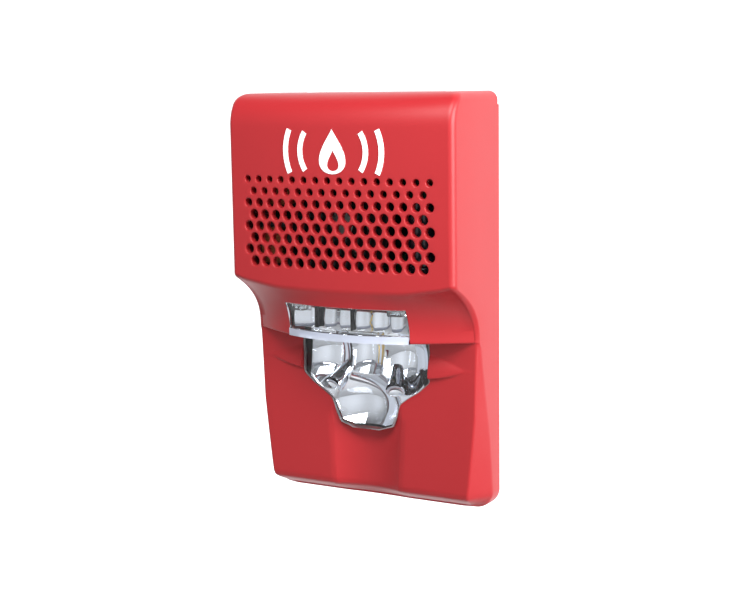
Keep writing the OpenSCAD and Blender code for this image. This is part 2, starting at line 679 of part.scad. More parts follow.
module tube_electrodes() {
    color("silver") both_sides() {
        rod_x(tube_y, tube_z, 0.85, 10.5, 15.4);
        rod_x(tube_y, tube_z, 0.4, 15.3, 19.4);
        rod_y(19, tube_z, 0.4, tube_y, strobe_front);
    }
}
module tube_grommets() {
    color("ivory") both_sides() difference() {
        rod_x(tube_y, tube_z, 1.8, 15.6, 17);
        rod_x(tube_y, tube_z, 0.45, 15, 18);
    }
}
module trigger_wire() {
    color("gold") {
        rod_x(tube_y, tube_z - 1.9, 0.25, -6, 6);
        rod_y(-5.9, tube_z - 1.9, 0.25, tube_y, refl_front(-5.9, tube_z - 1.9) - 0.3);
        for (x = [-4, 0, 4]) translate([x, tube_y, tube_z]) rotate([0, 90, 0])
            rotate_extrude() translate([1.8, 0]) circle(r = 0.22);
    }
}

// ---------- light-output selector ----------
module selector_body() {
    color("black") difference() {
        box(-31.4, -27, -5.6, -base_t, -36, -24);
        box(-32, -29.4, -4.9, -2.9, -35.2, -24.8);
    }
}
module selector_knob() {
    color("white") {
        box(-31.3, -29.5, -4.8, -3, knob_z - selector_travel / 2 - 1.4,
            knob_z - selector_travel / 2 + 1.4);
        box(-32.2, -31.2, -4.4, -3.4, knob_z - selector_travel / 2 - 0.7,
            knob_z - selector_travel / 2 + 0.7);
    }
}

base_plate();
latch_tab();
main_board();
strobe_board();
board_screws();
terminal_block();
terminal_screws();
terminal_clamps();
horn_housing();
horn_cap();
piezo_disc();
piezo_ceramic();
horn_leads();
storage_capacitor();
capacitor_leads();
transformer_core();
transformer_winding();
trigger_coil();
power_inductor();
controller_chip();
chip_pins();
small_resistors();
tone_jumpers();
header_body();
header_pins();
reflector();
flash_tube();
tube_electrodes();
tube_grommets();
trigger_wire();
selector_body();
selector_knob();
front_cover();
lens();
lens_gasket();
lens_screws();
setting_window();
hinge_pins();
printed_symbol();
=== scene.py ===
"""Wall horn strobe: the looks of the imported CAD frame.

Shapes are in millimetres. The camera's slide, the lights and the stage are in metres. The device
hangs on the plane y = 0, its front faces -Y and Z is up.
"""
import json
import math

import bmesh
import bpy
import numpy as np
from mathutils import Matrix, Vector
from mathutils.geometry import delaunay_2d_cdt


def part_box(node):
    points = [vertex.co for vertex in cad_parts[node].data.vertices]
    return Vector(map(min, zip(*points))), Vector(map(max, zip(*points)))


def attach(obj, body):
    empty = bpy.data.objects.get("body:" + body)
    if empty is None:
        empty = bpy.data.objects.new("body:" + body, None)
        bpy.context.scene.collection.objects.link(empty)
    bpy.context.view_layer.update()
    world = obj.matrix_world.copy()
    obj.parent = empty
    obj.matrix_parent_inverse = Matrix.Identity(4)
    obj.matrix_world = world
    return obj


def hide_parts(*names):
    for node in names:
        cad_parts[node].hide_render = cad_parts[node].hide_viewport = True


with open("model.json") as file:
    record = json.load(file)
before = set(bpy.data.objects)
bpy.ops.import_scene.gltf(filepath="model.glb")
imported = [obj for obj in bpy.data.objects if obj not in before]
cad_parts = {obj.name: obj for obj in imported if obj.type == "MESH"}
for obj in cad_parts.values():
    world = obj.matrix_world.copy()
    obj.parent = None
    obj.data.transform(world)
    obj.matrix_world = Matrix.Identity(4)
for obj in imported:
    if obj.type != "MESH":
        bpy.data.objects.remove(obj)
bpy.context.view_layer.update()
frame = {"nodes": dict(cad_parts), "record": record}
MM = 0.001

# ---------- sizes; the outer ones come from the frame ----------
case_lo, case_hi = (np.array(c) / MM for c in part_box("front_cover"))
DRAFT = 0.8            # how far each side wall leans out towards the wall
HALF_W = float(case_hi[0]) - DRAFT
HALF_H = float(case_hi[2])
DEPTH = float(-case_lo[1])
RIM_Y = float(case_hi[1])
WALL = 2.0             # thickness of the case
PANEL_Y = -12.6        # front of the lower panel
FOOT_Y = -4.4          # front of the case's bottom edge
BOW_R = 278.0          # the upper face bows forward on this radius
TOP_R = 8.9            # top front edge, seen from the side
CORNER_R = 2.6         # top corners, seen from the front
FOOT_R = 5.0           # bottom corners, seen from the front
EDGE_R = 1.9           # upright front edges
BEVEL_SHOULDER = 0.586  # where the flanks of a rounded edge start, in radii from its corner
TOP_Z = HALF_H - TOP_R
ARRIS_Z, ARRIS_LIFT = 4.8, 0.06  # the edge between the face and the cove, at the middle
HOOD_Z = -9.4          # lower edge of the cove
PANEL_FOOT = -53.1     # where the lower panel starts to bend back
FOOT_Z = -56.3         # where the bottom rounding starts
PITCH = 3.7            # between the holes of a grille row
ROW_H = PITCH * math.sqrt(3) / 2
GRILLE_Z = 22.95       # middle of the grille
ROW_BORE = [1.9, 2.05, 2.4, 2.75, 2.75, 2.8, 2.75, 2.8]  # hole diameters, top row first
HOLE_EDGE = 0.28       # radius of a hole's rounded edge
RING = 28              # points round a hole
GRILLE_X = 30.6        # half width of the drilled patch
GRILLE_TOP, GRILLE_LOW = 36.8, 9.8
WINDOW_W, WINDOW_TOP = 18.8, 0.1  # half width and upper edge of the window in the cove
# Half widths of the opening below the hood, at heights from the hood down
OPEN_Z = [-9.4, -13, -17, -21.5, -24.5, -26.2, -28.4, -32.2, -35.1, -36.4]
OPEN_W = [20.0, 20.2, 20.1, 20.1, 16.7, 13.9, 10.9, 9.6, 8.2, 3.9]
OPEN_FOOT = OPEN_Z[-1]
NOSE_H, NOSE_STEP = 1.6, 0.45  # height of the noses and of the step below them
SIDES = ((-1, "left"), (1, "right"))


def mix(a, b, t):
    return a + (b - a) * t


def step01(t):
    return np.clip(t, 0.0, 1.0)


def smooth(t):
    t = step01(t)
    return t * t * (3 - 2 * t)


def soft_plus(t, k):
    """The positive part of t, rounded over a width of k."""
    return 0.5 * (t + np.sqrt(t * t + k * k))


def spans(*ends):
    """Values from a to b in n steps, for each (a, b, n), without the shared ends twice."""
    out = [ends[0][0]]
    for a, b, n in ends:
        out += [a + (b - a) * (k + 1) / n for k in range(n)]
    return out


# ---------- the case's surface ----------
def face_y(x):
    return -DEPTH + x * x / (2 * BOW_R)


def arris(x):
    """Height of the edge between the face and the cove, rising towards the sides."""
    return ARRIS_Z + 0.138 * soft_plus(np.abs(x) - 19.2, 1.6)


def hood_front(x):
    """Front of the cove's lower edge, which falls back to the panel at the sides."""
    return np.minimum(-25.5 + 0.01127 * x * x, PANEL_Y - 0.02)


def cove_raw(x, z):
    """Face above the arris, hollow cove below it."""
    a = arris(x)
    s = step01((a - z) / (a - HOOD_Z))
    return mix(face_y(x), hood_front(x), 1 - (1 - s) ** 2.5)


def cove_y(x, z, soft=0.7):
    """Face and cove, with the arris between them rounded."""
    steps = np.linspace(-1, 1, 9)
    return sum(cove_raw(x, np.maximum(z + soft * t, HOOD_Z)) for t in steps) / len(steps)


def opening_w(z):
    """Half width of the lower opening, its corners a little rounded."""
    steps = np.linspace(-0.5, 0.5, 5)
    return sum(np.interp(-(z + t), [-v for v in OPEN_Z], OPEN_W) for t in steps) / len(steps)


def scoop(x, z):
    """Depth of the upright hollow below the lens."""
    half = mix(11.2, 10.0, step01((-33 - z) / 20))
    depth = 3.3 * smooth((-27 - z) / 7) * mix(1, 0.66, step01((-36 - z) / 17))
    return depth * np.maximum(0, 1 - (x / half) ** 2)


def nose(x, z):
    """Height of the tapering noses beside the lens: swelling from the top, a step below."""
    t = step01((np.abs(x) - 18) / 12.8)
    top, low = -13.3 - 3.9 * t ** 1.5, -20.1 + 2.8 * t * t
    s = np.clip((top - z) / (top - low), 0, 1)
    step = step01((z - low + NOSE_STEP) / NOSE_STEP)
    return NOSE_H * (1 - t) ** 0.8 * np.sin(math.pi / 2 * np.minimum(1, 1.15 * s)) * step


def panel_raw(x, z):
    return PANEL_Y + scoop(x, z) - nose(x, z)


def panel_y(x, z, soft=0.22):
    """Lower panel with softened creases, bending back at its foot."""
    steps = np.linspace(-1, 1, 5)
    flat = sum(panel_raw(x, z + soft * t) for t in steps) / len(steps)
    bevel = np.maximum(0, PANEL_FOOT - z) / (HALF_H + PANEL_FOOT)
    slope = sum(np.maximum(0, bevel + t * 0.2) for t in steps) / len(steps)
    near = step01((PANEL_FOOT + 1.2 - z) / 1.2)
    return mix(flat, mix(flat, FOOT_Y, np.minimum(slope, 1) ** 1.1), near)


def side_y(z):
    """Depth at which the panel's bevel meets the side wall."""
    return np.interp(-z, [8.9, 25.7, 36.3, 46.2, 52.9], [-11.85, -8.45, -6.2, -5.0, FOOT_Y])


def panel_w(z):
    """Half width of the flat panel, inside its bevels."""
    return np.interp(-z, [9.4, 30, 37.4, 48.5, 57], [34.2, 33.6, 32.9, 31.7, 30.6])


def outline_w(z, i=0.0):
    """Half width of the front outline, shrunk by i, as its corners round off."""
    foot, top = FOOT_R - i, CORNER_R - 0.8 * i
    d = min(max(0.0, foot - (z + HALF_H - i)), foot)
    e = min(max(0.0, top - (HALF_H - i - z)), top)
    return HALF_W - i - foot + math.sqrt(foot * foot - d * d) - top + math.sqrt(top * top - e * e)


COVE_TOP = 1.0         # rounding either side of the arris
HOOD_R = 0.6           # radius of the cove's lower edge
# Height of the window's upper edge, as a share of the cove from the top down
WINDOW_T = ((ARRIS_Z + ARRIS_LIFT - COVE_TOP - WINDOW_TOP)
            / (ARRIS_Z + ARRIS_LIFT - COVE_TOP - HOOD_Z - HOOD_R))
# Rows of the surface, top to bottom. Each is (zone, value).
# The R0 and R1 names are the rows where the grille patch and the opening start and end.
ROWS = [("round", a) for a in spans((90, 0, 22))]
ROWS += [("face", z) for z in spans((TOP_Z, GRILLE_TOP, 9))[1:]]
GRILLE_R0 = len(ROWS) - 1
ROWS += [("face", z) for z in spans((GRILLE_TOP, GRILLE_LOW, 20))[1:]]
GRILLE_R1 = len(ROWS) - 1
ROWS += [("near", a) for a in spans((0, 1, 3))[1:]]
ROWS += [("arris", a) for a in spans((0, 1, 10))[1:]]
ROWS += [("cove", a) for a in spans((0, WINDOW_T, 7))[1:]]
OPEN_R0 = len(ROWS) - 1
ROWS += [("cove", a) for a in spans((WINDOW_T, 1, 16))[1:]]
ROWS += [("hood", a) for a in spans((0, 90, 5))[1:]]
ROWS += [("soffit", a) for a in spans((0, 1, 6))[1:]]
ROWS += [("root", a) for a in spans((0, 90, 4))[1:]]
ROWS += [("panel", z) for z in spans((HOOD_Z - 0.5, -13, 6), (-13, -21, 36), (-21, -28.4, 18),
                                     (-28.4, OPEN_FOOT, 16))[1:]]
OPEN_R1 = len(ROWS) - 1
ROWS += [("panel", z) for z in spans((OPEN_FOOT, -46, 14), (-46, -52, 8), (-52, FOOT_Z, 16))[1:]]
ROWS += [("foot", a) for a in spans((0, 1, 6))[1:]]

HALF_COLS = spans((0, WINDOW_W, 22), (WINDOW_W, 24, 8), (24, GRILLE_X, 10))
OPEN_C = 22            # column on the edge of the opening
CREASE_C = 30          # column on the edge of the scoop
GRILLE_C = len(HALF_COLS) - 1
EDGE_STEPS = 6


def columns(zone, z):
    """Half of the front columns at height z; they bend to follow the opening and the scoop."""
    k1, k2 = WINDOW_W, 24.0
    if zone in ("soffit", "root", "panel", "foot"):
        k1 = float(opening_w(min(z, HOOD_Z - 0.1)))
        k2 = float(np.interp(-z, [22, 26, 28.4, 33, 53], [24, 17, 13, 11.15, 10.0]))
        if z < OPEN_FOOT:
            k1 = float(np.interp(-z, [-OPEN_FOOT, 40, 57], [OPEN_W[-1], 6.0, 7.0]))
    keys = [HALF_COLS[c] for c in (0, OPEN_C, CREASE_C, GRILLE_C)]
    return np.interp(HALF_COLS, keys, [0, k1, k2, GRILLE_X])


def row_z(zone, v, x, i):
    """Height of a row at columns x; i is the inset, zero on the outer surface."""
    a = arris(x)
    if zone == "round":
        return TOP_Z + (TOP_R - i) * math.sin(math.radians(v)) + 0 * x
    if zone == "near":
        return mix(GRILLE_LOW, a + COVE_TOP, v)
    if zone == "arris":
        return a + COVE_TOP * (1 - 2 * v)
    if zone == "cove":
        return mix(a - COVE_TOP, HOOD_Z + HOOD_R + i * v, v)
    if zone == "hood":
        return HOOD_Z + i + HOOD_R * (1 - math.sin(math.radians(v))) + 0 * x
    if zone == "soffit":
        return HOOD_Z + i + 0 * x
    if zone == "root":
        return HOOD_Z + i - 0.5 * (1 - math.cos(math.radians(v))) + 0 * x
    if zone == "foot":
        return mix(FOOT_Z, -HALF_H, 1 - (1 - v) ** 2) + 0 * x + i
    if zone == "panel":
        return v + i * (smooth((v + 13) / 3) + smooth((-47 - v) / 9)) + 0 * x
    return v + 0 * x


def row_y(zone, v, x, i):
    """Depth of the front surface on a row, at columns x."""
    if zone == "round":
        f = face_y(x) + i
        return f + (-DEPTH + TOP_R - f) * (1 - math.cos(math.radians(v)))
    z = row_z(zone, v, x, 0.0)
    if zone in ("face", "near", "arris", "cove"):
        y = cove_y(x, z)
        slope = (cove_y(x, z - 0.3) - cove_y(x, z + 0.3)) / 0.6
        return y + i * np.minimum(1.7, np.sqrt(1 + slope ** 2))
    front = hood_front(x)
    reach = np.minimum(HOOD_R, 0.4 * (PANEL_Y - front))
    if zone == "hood":
        return front + reach * (1 - math.cos(math.radians(v))) + i
    if zone == "soffit":
        return mix(front + reach, PANEL_Y - 0.5 * reach, v) + i
    if zone == "root":
        return PANEL_Y - 0.5 * reach * (1 - math.sin(math.radians(v))) + i
    if zone == "foot":
        return mix(panel_y(x, np.full_like(x, FOOT_Z)), FOOT_Y + 0.8, v * v) + i
    return panel_y(x, z) + i


def side_x(w, y):
    """Side wall at depth y, leaning out from half width w at the front."""
    return w + DRAFT * min(1.0, max(0.0, 1 + y / 24.7))


def corner(p0, p1, p2, reach, n):
    """Points round the corner p1, from the side towards p0 to the side towards p2."""
    a, b = p0 - p1, p2 - p1
    a, b = a / np.linalg.norm(a), b / np.linalg.norm(b)
    t = np.linspace(0, 1, n + 1)[:, None]
    return (1 - t) ** 2 * (p1 + a * reach) + 2 * t * (1 - t) * p1 + t * t * (p1 + b * reach)


def row_points(zone, v, i):
    """One row of the case, from the left rim round the front to the right rim; i is the inset."""
    wide = np.array([HALF_W])
    z_side0 = float(row_z(zone, v, wide, 0.0)[0])
    z_side = float(row_z(zone, v, wide, i)[0])
    w = outline_w(z_side, i)
    upper = zone in ("round", "face", "near", "arris", "cove")
    y_edge = float(row_y(zone, v, wide, i)[0])
    lost = HALF_W - outline_w(z_side0)
    # The edge is bevelled from a, on the side wall, to b, on the front, and rounded at both
    if upper:
        fade = 1.0 if zone in ("round", "face") else 1 - 0.55 * smooth((9.8 - z_side0) / 19)
        r = max(0.4, EDGE_R * fade - 0.4 * i)
        shoulder = BEVEL_SHOULDER * r
        a = np.array([side_x(w, y_edge + shoulder), y_edge + shoulder])
        b = np.array([w - shoulder, y_edge])
        reach = 0.4 * r
    else:
        low = max(z_side0, -HALF_H)
        t = smooth((HOOD_Z - low) / 1.2)
        shoulder = BEVEL_SHOULDER * 0.85
        flat = panel_w(low) - lost
        ya = mix(y_edge + shoulder, float(side_y(low)) + i, t) if zone != "foot" else FOOT_Y + i
        ya = max(ya, y_edge + 0.25)
        a = np.array([side_x(w, ya), ya])
        b = np.array([min(mix(HALF_W - shoulder, flat, t) - i, w - 0.2), y_edge])
        reach = min(0.6, 0.45 * float(np.linalg.norm(a - b)))
    x = columns(zone, z_side0)
    # Where a row is narrow, its outer columns move in to stay short of the edge
    last = float(b[0]) - reach
    keep, end = min(29.3, last - 2.2), last - 0.45
    span = (end - keep) / (GRILLE_X - keep) if end < GRILLE_X or i > 0 else 1.0
    x_in = np.where(x > keep, keep + (x - keep) * span, x)
    ys, zs = row_y(zone, v, x if i > 0 else x_in, i), row_z(zone, v, x, i)
    front = np.stack([x_in, ys, zs], 1)
    y_b = float(row_y(zone, v, np.array([min(last, HALF_W)]), i)[0])
    b[1] = y_b
    rim = np.array([side_x(w, RIM_Y), RIM_Y])
    ca = corner(rim, a, b, reach, EDGE_STEPS)
    cb = corner(a, b, np.array([b[0] - 1, y_b]), reach, EDGE_STEPS)
    y_mid = mix(RIM_Y, ca[0][1], 0.5)
    plan = np.concatenate([[rim], [[side_x(w, y_mid), y_mid]], ca, cb])
    side = np.column_stack([plan, np.full(len(plan), z_side)])
    right = np.concatenate([front, side[::-1]])
    left = right[1:][::-1] * np.array([-1, 1, 1])
    return np.concatenate([left, right])


def mesh_object(name, verts, faces, body, material, angle=32.0):
    """A new mesh piece, in millimetres, riding on a body."""
    mesh = bpy.data.meshes.new(name)
    mesh.from_pydata([tuple(float(c) * MM for c in v) for v in verts], [], [list(f) for f in faces])
    mesh.validate()
    mesh.shade_smooth()
    mesh.set_sharp_from_angle(angle=math.radians(angle))
    piece = bpy.data.objects.new(name, mesh)
    bpy.context.scene.collection.objects.link(piece)
    if material is not None:
        mesh.materials.append(material)
    if body is not None:
        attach(piece, body)
    return piece


def hole_centres():
    """Grille holes as (x, z, radius), in rows of 16 and 15."""
    out = []
    for row, bore in enumerate(ROW_BORE):
        count = 16 if row % 2 == 0 else 15
        for c in range(count):
            x = (c - (count - 1) / 2) * PITCH
            out.append((x, GRILLE_Z + (3.5 - row) * ROW_H, bore / 2))
    return out


def build_cover(material):
    """The case as one closed mesh: outer and inner surface, opening, rim and drilled grille."""
    outer = [row_points(zone, v, 0.0) for zone, v in ROWS]
    inner = [row_points(zone, v, WALL) for zone, v in ROWS]
    n_rows, n_cols = len(outer), len(outer[0])
    mid = n_cols // 2
    verts = [p for row in outer for p in row] + [p for row in inner for p in row]
    half = n_rows * n_cols

    def at(r, c, side=0):
        return side * half + r * n_cols + c

    def outline(r0, r1, half_cols):
        """The net's points round a patch, as (row, column)."""
        loop = [(r0, c) for c in range(mid - half_cols, mid + half_cols)]
        loop += [(r, mid + half_cols) for r in range(r0, r1)]
        loop += [(r1, c) for c in range(mid + half_cols, mid - half_cols, -1)]
        return loop + [(r, mid - half_cols) for r in range(r1, r0, -1)]

    def skipped(r, c):
        grille = GRILLE_R0 <= r < GRILLE_R1 and mid - GRILLE_C <= c < mid + GRILLE_C
        opening = OPEN_R0 <= r < OPEN_R1 and mid - OPEN_C <= c < mid + OPEN_C
        return grille or opening

    faces = []
    for r in range(n_rows - 1):
        for c in range(n_cols - 1):
            if skipped(r, c):
                continue
            faces.append((at(r, c), at(r, c + 1), at(r + 1, c + 1), at(r + 1, c))[::-1])
            faces.append((at(r, c, 1), at(r, c + 1, 1), at(r + 1, c + 1, 1), at(r + 1, c, 1)))
    # Caps at the top and bottom, and the rim against the wall
    last = n_rows - 1
    for side in (0, 1):
        top = [at(0, c, side) for c in range(n_cols)]
        foot = [at(last, c, side) for c in range(n_cols)]
        faces.append(top if side == 0 else top[::-1])
        faces.append(foot[::-1] if side == 0 else foot)
    for r in range(last):
        faces.append((at(r, 0), at(r, 0, 1), at(r + 1, 0, 1), at(r + 1, 0))[::-1])
        e = n_cols - 1
        faces.append((at(r, e), at(r, e, 1), at(r + 1, e, 1), at(r + 1, e)))
    for r, flip in ((0, False), (last, True)):
        quad = (at(r, 0), at(r, n_cols - 1), at(r, n_cols - 1, 1), at(r, 0, 1))
        faces.append(quad[::-1] if flip else quad)
    # Wall of the opening
    loop = outline(OPEN_R0, OPEN_R1, OPEN_C)
    for a, b in zip(loop, loop[1:] + loop[:1]):
        faces.append((at(*a), at(*b), at(*b, 1), at(*a, 1)))
    # Drilled patch: a flat net of triangles between the patch's edge and the holes
    holes = hole_centres()
    edge = outline(GRILLE_R0, GRILLE_R1, GRILLE_C)
    flat = [Vector((verts[at(*e)][0], verts[at(*e)][2])) for e in edge]
    links = [(k, (k + 1) % len(edge)) for k in range(len(edge))]
    owner = [("edge", e) for e in edge]
    turn = [2 * math.pi * k / RING for k in range(RING)]
    for h, (x, z, r) in enumerate(holes):
        first = len(flat)
        rim = r + HOLE_EDGE
        flat += [Vector((x + rim * math.cos(a), z + rim * math.sin(a))) for a in turn]
        owner += [("hole", (h, k)) for k in range(RING)]
        links += [(first + k, first + (k + 1) % RING) for k in range(RING)]
    for gx in np.arange(-GRILLE_X + 1.2, GRILLE_X - 0.6, 1.2):
        for gz in np.arange(GRILLE_LOW + 1.0, GRILLE_TOP - 0.5, 1.0):
            if all(math.hypot(gx - x, gz - z) > r + 0.75 for x, z, r in holes):
                flat.append(Vector((float(gx), float(gz))))
                owner.append(("free", None))
    got, _, tris, orig, _, _ = delaunay_2d_cdt(flat, links, [], 0, 1e-5, True)
    ids = []
    for side in (0, 1):
        row = []
        for k, p in enumerate(got):
            kind, what = owner[orig[k][0]] if orig[k] else ("free", None)
            if kind == "edge":
                row.append(at(*what, side))
                continue
            x, z = p
            if side and kind == "hole":
                hx, hz, hr = holes[what[0]]
                x = hx + hr * math.cos(turn[what[1]])
                z = hz + hr * math.sin(turn[what[1]])
            verts.append(np.array([x, face_y(x) + side * WALL, z]))
            row.append(len(verts) - 1)
        ids.append(row)
    ring = {}
    for k in range(len(got)):
        if orig[k] and owner[orig[k][0]][0] == "hole":
            ring[owner[orig[k][0]][1]] = k
    for t in tris:
        cx = sum(got[k][0] for k in t) / 3
        cz = sum(got[k][1] for k in t) / 3
        if any(math.hypot(cx - x, cz - z) < r + 0.1 for x, z, r in holes):
            continue
        inside = all(orig[k] and owner[orig[k][0]][0] == "hole" for k in t)
        if inside and len({owner[orig[k][0]][1][0] for k in t}) == 1:
            continue
        a, b, c = t
        faces.append((ids[0][a], ids[0][b], ids[0][c]))
        faces.append((ids[1][a], ids[1][c], ids[1][b]))
    # Walls of the holes, with a rounded edge at the front
    bends = [math.radians(a) for a in (22, 45, 68, 90)]
    for h, (x, z, r) in enumerate(holes):
        rings = [[ids[0][ring[(h, k)]] for k in range(RING)]]
        for bend in bends:
            rr = r + HOLE_EDGE * (1 - math.sin(bend))
            depth = HOLE_EDGE * (1 - math.cos(bend))
            now = []
            for a in turn:
                px, pz = x + rr * math.cos(a), z + rr * math.sin(a)
                verts.append(np.array([px, face_y(px) + depth, pz]))
                now.append(len(verts) - 1)
            rings.append(now)
        rings.append([ids[1][ring[(h, k)]] for k in range(RING)])
        for a, b in zip(rings, rings[1:]):
            for k in range(RING):
                m = (k + 1) % RING
                faces.append((a[k], b[k], b[m], a[m])[::-1])
    return mesh_object("cover_shell", verts, faces, None, material)


# ---------- materials ----------
def material(name, colour, rough=0.5, metal=0.0, coat=0.0, bump=0.0, scale=900.0,
             vary=0.06, **sockets):
    """Moulded plastic, metal or paint: mottled colour and roughness, with a fine grain."""
    mat = bpy.data.materials.new(name)
    mat.use_nodes = True
    nodes, links = mat.node_tree.nodes, mat.node_tree.links
    shader = nodes["Principled BSDF"]
    place = nodes.new("ShaderNodeTexCoord")
    broad = nodes.new("ShaderNodeTexNoise")
    broad.inputs["Scale"].default_value = scale * 0.04
    broad.inputs["Detail"].default_value = 4
    links.new(place.outputs["Object"], broad.inputs["Vector"])
    tone = nodes.new("ShaderNodeMapRange")
    tone.inputs["To Min"].default_value = 1 - vary
    tone.inputs["To Max"].default_value = 1 + vary
    links.new(broad.outputs["Fac"], tone.inputs["Value"])
    tint = nodes.new("ShaderNodeMix")
    tint.data_type = "RGBA"
    tint.blend_type = "MULTIPLY"
    tint.inputs["Factor"].default_value = 1
    tint.inputs["A"].default_value = (*colour, 1)
    links.new(tone.outputs["Result"], tint.inputs["B"])
    links.new(tint.outputs["Result"], shader.inputs["Base Color"])
    shader.inputs["Roughness"].default_value = rough
    if rough:
        gloss = nodes.new("ShaderNodeMapRange")
        gloss.inputs["To Min"].default_value = rough * (1 - 1.5 * vary)
        gloss.inputs["To Max"].default_value = min(1, rough * (1 + 1.5 * vary))
        links.new(broad.outputs["Fac"], gloss.inputs["Value"])
        links.new(gloss.outputs["Result"], shader.inputs["Roughness"])
    if bump:
        grain = nodes.new("ShaderNodeTexNoise")
        grain.inputs["Scale"].default_value = scale
        grain.inputs["Detail"].default_value = 3
        links.new(place.outputs["Object"], grain.inputs["Vector"])
        relief = nodes.new("ShaderNodeBump")
        relief.inputs["Strength"].default_value = bump
        relief.inputs["Distance"].default_value = 0.0001
        links.new(grain.outputs["Fac"], relief.inputs["Height"])
        links.new(relief.outputs["Normal"], shader.inputs["Normal"])
    shader.inputs["Metallic"].default_value = metal
    shader.inputs["Coat Weight"].default_value = coat
    for socket, value in sockets.items():
        shader.inputs[socket.replace("_", " ")].default_value = value
    return mat


def clear_material(name, tint, ior):
    """Clear moulded plastic or glass, its tint very slightly uneven."""
    return material(name, tint, rough=0.0, vary=0.008, Transmission_Weight=1.0, IOR=ior)


RED = material("red_plastic", (0.33, 0.0155, 0.019), rough=0.37, bump=0.12, scale=2600, vary=0.02,
               Specular_IOR_Level=0.32)
# Front of the lens lip: half see-through, its pale bluish colour a painted reflection of the bright
# surroundings
LIP_REFLECTION_LOOK = material("lens_lip_painted_reflection", (0.62, 0.66, 0.78), rough=0.22, vary=0.05,
                    Transmission_Weight=0.45)
LOOKS = {
    "base_plastic": material("base_plastic", (0.035, 0.035, 0.038), rough=0.5, bump=0.1),
    "black_plastic": material("black_plastic", (0.012, 0.012, 0.013), rough=0.28, bump=0.05,
                              Specular_IOR_Level=0.25),
    "terminal_plastic": material("terminal_plastic", (0.02, 0.02, 0.025), rough=0.45, bump=0.08),
    "board_green": material("board_green", (0.008, 0.05, 0.02), rough=0.3, coat=0.4, bump=0.05),
    "steel": material("steel", (0.62, 0.62, 0.64), rough=0.28, metal=1.0, bump=0.05),
    "tin": material("tin", (0.75, 0.74, 0.72), rough=0.22, metal=1.0),
    "brass": material("brass", (0.78, 0.55, 0.22), rough=0.3, metal=1.0, bump=0.04),
    "gold_pin": material("gold_pin", (0.85, 0.62, 0.22), rough=0.2, metal=1.0),
    "piezo_white": material("piezo_white", (0.72, 0.70, 0.66), rough=0.6, bump=0.05),
    "copper": material("copper", (0.30, 0.10, 0.04), rough=0.4, metal=0.7, bump=0.5, scale=1600),
    "ferrite": material("ferrite", (0.03, 0.03, 0.032), rough=0.55, bump=0.15),
    "sleeve": material("sleeve", (0.012, 0.012, 0.02), rough=0.22, coat=0.3),
    "wire_red": material("wire_red", (0.45, 0.01, 0.01), rough=0.4),
    "jumper_blue": material("jumper_blue", (0.01, 0.03, 0.25), rough=0.3),
    "grommet": material("grommet", (0.72, 0.70, 0.62), rough=0.6),
    "gasket": material("gasket", (0.33, 0.30, 0.31), rough=0.55),
    "white_ink": material("white_ink", (0.92, 0.92, 0.92), rough=0.45, vary=0.02),
    "knob_white": material("knob_white", (0.8, 0.8, 0.8), rough=0.35),
    "reflector_chrome": material("reflector_chrome", (0.91, 0.935, 0.99), rough=0.03, metal=1.0,
                                 vary=0.02),
    "clear_lens": clear_material("clear_lens", (0.975, 0.985, 0.99), 1.45),
    "tube_glass": clear_material("tube_glass", (0.97, 0.98, 0.99), 1.47),
    "red_plastic": RED,
}
# Every CAD piece takes its look from its material slot
for part in frame["record"]["subparts"]:
    node = frame["nodes"][part["node"]]
    node.data.materials.clear()
    node.data.materials.append(LOOKS[part["material_slot"]])


# ---------- cover ----------
def box_mesh(name, x0, x1, y0, y1, z0, z1):
    """A plain closed box between two corners."""
    verts = [(x * MM, y * MM, z * MM) for x in (x0, x1) for y in (y0, y1) for z in (z0, z1)]
    faces = [(0, 1, 3, 2), (4, 6, 7, 5), (0, 4, 5, 1), (2, 3, 7, 6), (0, 2, 6, 4), (1, 5, 7, 3)]
    mesh = bpy.data.meshes.new(name)
    mesh.from_pydata(verts, [], faces)
    return mesh


def cut(piece, boxes):
    """Takes boxes out of a closed piece and keeps the result as plain mesh."""
    tools = []
    for lo_hi in boxes:
        tool = bpy.data.objects.new("cutter", box_mesh("cutter", *lo_hi))
        bpy.context.scene.collection.objects.link(tool)
        step = piece.modifiers.new("cut", "BOOLEAN")
        step.operation, step.solver, step.object = "DIFFERENCE", "EXACT", tool
        tools.append(tool)
    dg = bpy.context.evaluated_depsgraph_get()
    mesh = bpy.data.meshes.new_from_object(piece.evaluated_get(dg))
    piece.modifiers.clear()
    piece.data = mesh
    for tool in tools:
        bpy.data.objects.remove(tool)


def soft_box(name, corners, body, slot_name, edge=0.2):
    """A moulded block with rounded edges; corners are (x0, x1, y0, y1, z0, z1)."""
    mesh = box_mesh(name, *corners)
    work = bmesh.new()
    work.from_mesh(mesh)
    bmesh.ops.recalc_face_normals(work, faces=work.faces)
    bmesh.ops.bevel(work, geom=list(work.edges), offset=edge * MM, segments=3, affect="EDGES")
    work.to_mesh(mesh)
    work.free()
    mesh.shade_smooth()
    mesh.set_sharp_from_angle(angle=math.radians(40))
    mesh.materials.append(LOOKS[slot_name])
    piece = bpy.data.objects.new(name, mesh)
    bpy.context.scene.collection.objects.link(piece)
    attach(piece, body)
    return piece


EAR_X, EAR_GAP = 22.0, 2.2              # middle and half width of the slots round the hinge ears
RELIEF_Y, RELIEF_Z = -0.9, 53.5         # the rim is cut back at the top, so that the cover can turn
